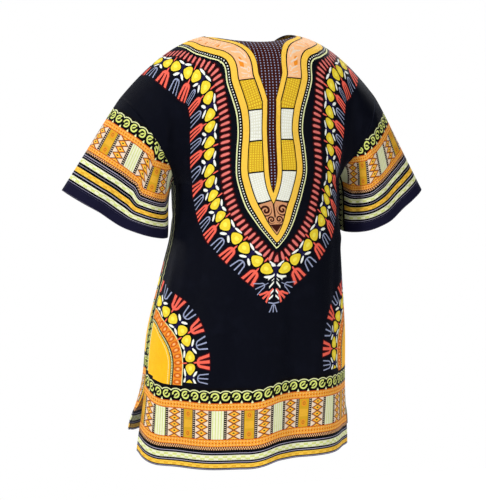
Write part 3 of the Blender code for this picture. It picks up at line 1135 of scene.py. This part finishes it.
def garlandPrint(tree, across, down, up):
    barRun, barOut, garlandRun = placeOf(tree, "bars")
    garlandOut = placeOf(tree, "petals")[0]
    ground = barRow(ink("ground"), barRun, barOut)
    ground = flowerGarland(ground, garlandRun, garlandOut, sprayFrom=20)
    return tipMotif(ground, across, down)


def hemPrint(tree, across, down, up):
    return borderPrint(across + border["hemShift"], up, "hem")


def sidePrint(tree, across, down, up):
    return archPrint(placeOf(tree, "edge")[0], up)


def cuffPrint(tree, across, down, up):
    inside, printUp = placeOf(tree, "edge")[:2]
    ground = borderPrint(across + border["cuffShift"], printUp, "cuff")
    # the sleeve's seam under the arm shows a strip of the next border's edge
    seam = zonePlan["sleeveSeam"]
    ground = paint(ground, inside < seam, "black")
    rings = scrollRow(ground, up, inside - 6, 0.5, "line")
    return paint(ground, inside < seam - 1, rings)


stitch = {
    "pitch": 3.2,  # millimetres from stitch to stitch
    "long": 2.3,
    "wide": 0.6,
    "high": 0.4,
    "hemRow": 19,
    "neckRow": 7,
    "ventRow": 9,
    "cuffRow": 18,
    "sunk": 0.2,  # how deep the thread starts in the cloth
    "hemEnds": 6,  # columns left without stitches at each end of the hem
    "neckEnds": 0.02,
    "ventFrom": 4,
    "ventTo": 128,
    "ventColumns": 24,
}


def rowAt(points, values, level):
    # the line across a grid where rising values reach a level, one spot a column
    rows = np.array([np.interp(level, column, np.arange(len(column))) for column in values.T])
    low = np.clip(rows.astype(int), 0, len(values) - 2)
    columns = np.arange(values.shape[1])
    share = (rows - low)[:, None]
    return blend(points[low, columns], points[low + 1, columns], share)


def stitchLine(spots, normals):
    # one small closed thread for each stitch along a line
    run = np.concatenate([[0], np.cumsum(np.linalg.norm(np.diff(spots, axis=0), axis=1))]) * 1000
    middles = np.arange(stitch["pitch"], run[-1] - stitch["pitch"], stitch["pitch"])

    def along(values, places):
        return np.column_stack([np.interp(places, run, values[:, axis]) for axis in range(3)])

    head = along(spots, middles - stitch["long"] / 2)
    tail = along(spots, middles + stitch["long"] / 2)
    out = along(normals, middles)
    aside = np.cross(out, tail - head)
    aside = aside / np.linalg.norm(aside, axis=1, keepdims=True) * stitch["wide"] / 2000
    centre = (head + tail) / 2
    top = centre + out * stitch["high"] / 1000
    bottom = centre - out * stitch["sunk"] / 1000
    return np.stack([head, tail, centre + aside, centre - aside, top, bottom], axis=1)


def stitchPiece(name, lines):
    stitches = np.concatenate(lines)
    corners = np.array([
        (0, 4, 2), (2, 4, 1), (1, 4, 3), (3, 4, 0), (2, 5, 0), (1, 5, 2), (3, 5, 1), (0, 5, 3),
    ])
    faces = (np.arange(len(stitches))[:, None, None] * 6 + corners).reshape(-1, 3)
    mesh = bpy.data.meshes.new(name)
    mesh.from_pydata(stitches.reshape(-1, 3).tolist(), [], faces.tolist())
    mesh.polygons.foreach_set("use_smooth", np.ones(len(faces), bool))
    mesh.materials.append(thread)
    piece = bpy.data.objects.new(name, mesh)
    bpy.context.collection.objects.link(piece)
    return piece


def threadMaterial():
    material = bpy.data.materials.new("navyThread")
    material.use_nodes = True
    tree = material.node_tree
    shader = tree.nodes["Principled BSDF"]
    coords = tree.nodes.new("ShaderNodeTexCoord")
    uneven = noiseOf(tree, coords.outputs["Object"], 300.0, 2.0)
    join(tree, paint(ink("navy"), uneven * 0.5, "lilac"), shader.inputs["Base Color"])
    join(tree, calc("MULTIPLY_ADD", uneven, 0.2, 0.45), shader.inputs["Roughness"])
    twist = noiseOf(tree, coords.outputs["Object"], 2200.0, 1.0)
    weaveBump(tree, shader, twist, 0.6, 0.0001)
    return material


thread = threadMaterial()
seams = {}

panelPlan = {
    "columns": 144,
    "yokeRows": 76,
    "skirtRows": 118,
    "seamFade": 30,  # millimetres without creases at the seams
    "tipThinning": 0.35,  # the medallion's bands thin towards its tip
    "thinningFrom": 390,
    "thinningRun": 60,
    "barsLean": 0.45,  # how much of the medallion's lean each ring of print takes
    "garlandLean": 0.2,
}

# which material draws which stretch of cloth, by number and by reach in millimetres
plainZone, medallionZone, garlandZone, hemZone, sideZone = range(5)
zonePlan = {
    "sideStrip": 11,  # in from the side edge
    "sideStripTop": 512,  # up from the hem
    "archIn": 176,
    "archTop": 346,
    "garlandOut": 46,
    "tipAcross": 50,
    "tipFrom": 500,  # down from the shoulder line
    "tipTo": 590,
    "medallionOut": 5,
    "hemTop": 156,
    "cuffTop": 188,
    "sleeveSeam": 17,
}


def meanOver(values, quads):
    return values.ravel()[quads].mean(axis=1)


def facingOut(normals, away):
    return normals * np.sign(np.sum(normals * away))


def makePanel(name, face, materials):
    across = np.linspace(-1, 1, panelPlan["columns"] + 1)
    cut = neckCut(face, across)
    yoke = np.linspace(0, 1, panelPlan["yokeRows"], endpoint=False)[:, None]
    skirt = np.linspace(1, 2, panelPlan["skirtRows"] + 1)[:, None]
    level = np.vstack([blend(cut[None, :], 1.0, yoke), skirt + 0 * across[None, :]])
    spread = np.broadcast_to(across, level.shape)
    points = panelPoint(face, spread, level)
    outwards, down, up, inside = panelChart(face, spread, level)
    away = np.array([0, face, 0])
    fade = panelPlan["seamFade"]
    seamFade = ease(inside / fade) * ease(down / fade) * ease((up + fade) / (2 * fade))
    lift = creaseLift(panelCreases, face, outwards, down) / 1000 * seamFade
    points = points + facingOut(gridNormals(points), away) * lift[..., None]
    normals = facingOut(gridNormals(points), away)
    thick = hemmedThickness(up, cloth["hemWidth"])

    # the print's own places: how far along each guide line, and how far outside it
    leanDown, leanOut = zip(*medallion["lean"])
    lean = np.interp(down, leanDown, leanOut) * (face == back)
    leaned = outwards - lean
    outlineRun, outlineOut = alongLine("outline", leaned, down)
    barRun, barOut = alongLine("bars", outwards - panelPlan["barsLean"] * lean, down)
    petalRun, petalOut = alongLine("garland", outwards - panelPlan["garlandLean"] * lean, down)
    passed, petals = zip(*petalCount)
    petalRun = np.interp(petalRun, passed, petals) * garland["pitch"]
    outline = smoothLine(printLines["outline"])
    halfThere = np.interp(down, outline[:, 1], outline[:, 0])
    within = (np.abs(leaned) < halfThere) & (down <= outline[-1, 1])
    inwards = np.abs(outlineOut) * np.where(within, 1, -1)
    thinning = ease((down - panelPlan["thinningFrom"]) / panelPlan["thinningRun"])
    inwards = inwards * (1 + panelPlan["tipThinning"] * thinning)
    places = {
        "place": np.stack([outwards, down, up], -1),
        "edge": np.stack([inside, inwards, outlineRun], -1),
        "bars": np.stack([barRun, barOut, petalRun], -1),
        "petals": np.stack([petalOut, leaned, 0 * leaned], -1),
    }

    def zoneOf(quads):
        faceUp, faceSide, faceDown = (meanOver(values, quads) for values in (up, inside, down))
        inStrip = (faceSide < zonePlan["sideStrip"]) & (faceUp < zonePlan["sideStripTop"])
        inArch = (faceSide < zonePlan["archIn"]) & (faceUp < zonePlan["archTop"])
        inTip = (faceDown < zonePlan["tipTo"]) & (faceDown > zonePlan["tipFrom"])
        inTip = inTip & (np.abs(meanOver(outwards, quads)) < zonePlan["tipAcross"])
        zone = np.full(len(quads), plainZone)
        zone[inStrip | inArch] = sideZone
        zone[inTip | (meanOver(petalOut, quads) < zonePlan["garlandOut"])] = garlandZone
        zone[meanOver(inwards, quads) > -zonePlan["medallionOut"]] = medallionZone
        zone[faceUp < zonePlan["hemTop"]] = hemZone
        return zone

    # rows of stitches at the hem, the neck and both vents
    both = np.concatenate([points, normals], axis=-1)
    ends = stitch["hemEnds"]
    opening = np.abs(across) < shirtCut["neckShare"] - stitch["neckEnds"]
    rows = [
        rowAt(both[::-1], up[::-1], stitch["hemRow"])[ends:-ends],
        rowAt(both[:, opening], (down - down[:1])[:, opening], stitch["neckRow"]),
    ]
    low = (up[:, 0] < stitch["ventTo"]) & (up[:, 0] > stitch["ventFrom"])
    few = stitch["ventColumns"]
    for grid, fromEdge in ((both, inside), (both[:, ::-1], inside[:, ::-1])):
        vent = rowAt(grid[low, :few].swapaxes(0, 1), fromEdge[low, :few].T, stitch["ventRow"])
        rows.append(vent)
    seams[name] = stitchPiece(name + "Stitches", [stitchLine(row[:, :3], row[:, 3:]) for row in rows])
    return clothShell(name, points, normals, thick, places, materials, zoneOf)


sleevePlan = {
    "columns": 152,
    "rows": 62,
    "seamFade": 24,  # millimetres without creases at the seam under the arm
    "dragFade": 85,  # the drag of the print dies out towards the cuff
}

# side, face, place round (0 shoulder, 1 underarm), start and end along, width, depth in mm
sleeveCreases = (
    (left, back, 0.20, 0.0, 1.1, 0.06, -2.5),
    (left, back, 0.34, 0.0, 1.2, 0.05, 2.5),
    (left, back, 0.58, 0.0, 1.0, 0.05, -3.0),
    (left, back, 0.80, 0.1, 1.2, 0.05, 2.5),
    (left, front, 0.28, 0.0, 1.1, 0.06, -2.5),
    (left, front, 0.70, 0.0, 1.2, 0.06, 3.0),
    (right, back, 0.24, 0.0, 1.1, 0.06, -2.5),
    (right, back, 0.52, 0.0, 1.2, 0.05, 2.5),
    (right, back, 0.78, 0.1, 1.0, 0.05, -3.0),
    (right, front, 0.22, 0.0, 1.1, 0.06, 2.5),
    (right, front, 0.62, 0.0, 1.2, 0.06, -3.0),
)

# the cloth caught in the deepest fold drags the print towards the cuff:
# side, face, where the drag starts, width of the fold, where it starts to fade, millimetres
sleeveDrags = (
    (left, back, 0.48, 0.08, 0.74, 15),
    (right, back, 0.50, 0.12, 0.80, 7),
    (left, front, 0.52, 0.12, 0.80, 8),
    (right, front, 0.46, 0.10, 0.78, 11),
)


def makeSleeve(name, side, materials):
    half = sleevePlan["columns"] // 2
    partBack = np.linspace(1, 0, half + 1)
    partFront = np.linspace(0, 1, half + 1)[1:]
    along = np.linspace(0, 1, sleevePlan["rows"] + 1)[:, None]
    points = np.concatenate([
        sleevePoint(side, back, partBack[None, :], along),
        sleevePoint(side, front, partFront[None, :], along),
    ], axis=1)
    girth = arcAlong(points, 1)
    outwards = girth - girth[:, half:half + 1]
    inside = np.minimum(girth, girth[:, -1:] - girth)
    down = arcAlong(points, 0)
    up = down[-1:] - down
    parts = np.concatenate([partBack, partFront])
    faces = np.concatenate([np.full(half + 1, back), np.full(half, front)])
    lift = np.zeros(points.shape[:2])
    for creaseSide, face, place, start, end, width, depth in sleeveCreases:
        if creaseSide == side:
            grown = np.sin(np.pi * np.clip((along - start) / (end - start), 0, 1))
            lift = lift + depth / 1000 * grown * hump(parts - place, width) * (faces == face)
    lift = lift * ease(inside / sleevePlan["seamFade"])
    away = points - points.mean(axis=1, keepdims=True)
    points = points + facingOut(gridNormals(points), away) * lift[..., None]
    normals = facingOut(gridNormals(points), away)
    thick = hemmedThickness(up, cloth["cuffHemWidth"])
    printUp = up
    for dragSide, face, start, width, fade, amount in sleeveDrags:
        if dragSide == side:
            past = ease((parts - start) / width) * (1 - ease((parts - fade) / (1 - fade)))
            printUp = printUp + amount * past * (faces == face) * ease(up / sleevePlan["dragFade"])
    places = {
        "place": np.stack([outwards, down, up], -1),
        "edge": np.stack([inside, printUp, 0 * up], -1),
    }

    def zoneOf(quads):
        inBorder = meanOver(printUp, quads) < zonePlan["cuffTop"]
        return np.where(inBorder | (meanOver(inside, quads) < zonePlan["sleeveSeam"]), 1, 0)

    both = np.concatenate([points, normals], axis=-1)
    cuff = rowAt(both[::-1], up[::-1], stitch["cuffRow"])
    seams[name] = stitchPiece(name + "Stitches", [stitchLine(cuff[:, :3], cuff[:, 3:])])
    return clothShell(name, points, normals, thick, places, materials, zoneOf)


plain = clothMaterial("navyGround", plainPrint)
panelMaterials = [
    plain,
    clothMaterial("medallionPrint", medallionPrint),
    clothMaterial("garlandPrint", garlandPrint),
    clothMaterial("hemPrint", hemPrint),
    clothMaterial("sidePrint", sidePrint),
]
sleeveMaterials = [plain, clothMaterial("cuffPrint", cuffPrint)]
print("shirt: print drawn")

panels = {
    "back_panel": makePanel("backPanelCloth", back, panelMaterials),
    "front_panel": makePanel("frontPanelCloth", front, panelMaterials),
}
print("shirt: panels made")
sleeves = {
    "left_sleeve": makeSleeve("leftSleeveCloth", left, sleeveMaterials),
    "right_sleeve": makeSleeve("rightSleeveCloth", right, sleeveMaterials),
}
print("shirt: sleeves made")

# each piece and its stitches hang from the root, and the solid it stands for is hidden
for node, piece in {**panels, **sleeves}.items():
    stitches = seams[piece.name]
    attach(piece, "root")
    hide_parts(node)
    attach(stitches, "root")
print("shirt: pieces attached")

stage = {
    "floorHeight": -1.25,
    "floorSize": 2.8,
    "floorColour": (0.9, 0.9, 0.9, 1),
    "floorRoughness": 0.9,
    "azimuth": 162,
    "elevation": 8,
    "distance": 4.3,
    "aimHeight": -0.39,
    "viewHigh": 0.955,  # metres seen from top to bottom at the shirt
    "shownRight": 0.01337,  # the shirt stands a little right of and above the middle
    "shownUp": 0.0191,
    "skyLight": 0.10,
    # place, size and power
    "lamps": {
        "keyLight": ((3.2, 1.9, 2.4), 1.1, 205),
        "fillLight": ((-1.6, 3.6, 0.7), 1.8, 82),
        "frontKey": ((-2.6, -2.8, 2.2), 1.3, 165),
        "frontFill": ((2.4, -3.0, 0.6), 1.8, 75),
    },
}

bpy.ops.mesh.primitive_plane_add(size=stage["floorSize"], location=(0, 0, stage["floorHeight"]))
floor = bpy.context.active_object
floor.name = "floor"
floorMaterial = bpy.data.materials.new("paleFloor")
floorMaterial.use_nodes = True
floorShader = floorMaterial.node_tree.nodes["Principled BSDF"]
floorShader.inputs["Base Color"].default_value = stage["floorColour"]
floorShader.inputs["Roughness"].default_value = stage["floorRoughness"]
floor.data.materials.append(floorMaterial)
floor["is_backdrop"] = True

world = bpy.data.worlds.new("studio")
bpy.context.scene.world = world
world.use_nodes = True
# white all round, and a softer share of it to light the cloth by
sky = world.node_tree.nodes["Background"]
sky.inputs[0].default_value = (1, 1, 1, 1)
rays = world.node_tree.nodes.new("ShaderNodeLightPath")
level = world.node_tree.nodes.new("ShaderNodeMapRange")
level.inputs["To Min"].default_value = stage["skyLight"]
level.inputs["To Max"].default_value = 1.0
world.node_tree.links.new(rays.outputs["Is Camera Ray"], level.inputs["Value"])
world.node_tree.links.new(level.outputs[0], sky.inputs[1])


def softLight(name, place, size, power):
    data = bpy.data.lights.new(name, "AREA")
    data.size = size
    data.energy = power
    lamp = bpy.data.objects.new(name, data)
    bpy.context.collection.objects.link(lamp)
    lamp.location = place
    aim = Vector((0, 0, stage["aimHeight"])) - Vector(place)
    lamp.rotation_euler = aim.to_track_quat("-Z", "Y").to_euler()


for name, (place, size, power) in stage["lamps"].items():
    softLight(name, place, size, power)

azimuth, elevation = math.radians(stage["azimuth"]), math.radians(stage["elevation"])
target = Vector((0, 0, stage["aimHeight"]))
away = Vector((
    math.sin(azimuth) * math.cos(elevation),
    -math.cos(azimuth) * math.cos(elevation),
    math.sin(elevation),
))
rightwards = (-away).cross(Vector((0, 0, 1))).normalized()
upwards = rightwards.cross(-away)
cameraData = bpy.data.cameras.new("camera")
camera = bpy.data.objects.new("camera", cameraData)
bpy.context.collection.objects.link(camera)
camera.location = target + away * stage["distance"]
aim = target - rightwards * stage["shownRight"] - upwards * stage["shownUp"]
camera.rotation_euler = (aim - camera.location).to_track_quat("-Z", "Y").to_euler()
cameraData.lens = cameraData.sensor_width * stage["distance"] / stage["viewHigh"]
bpy.context.scene.camera = camera
bpy.context.scene.view_settings.view_transform = "Standard"
print("shirt: stage set")

size = {"cad": cadBox, "visual": [list(corner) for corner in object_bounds()]}
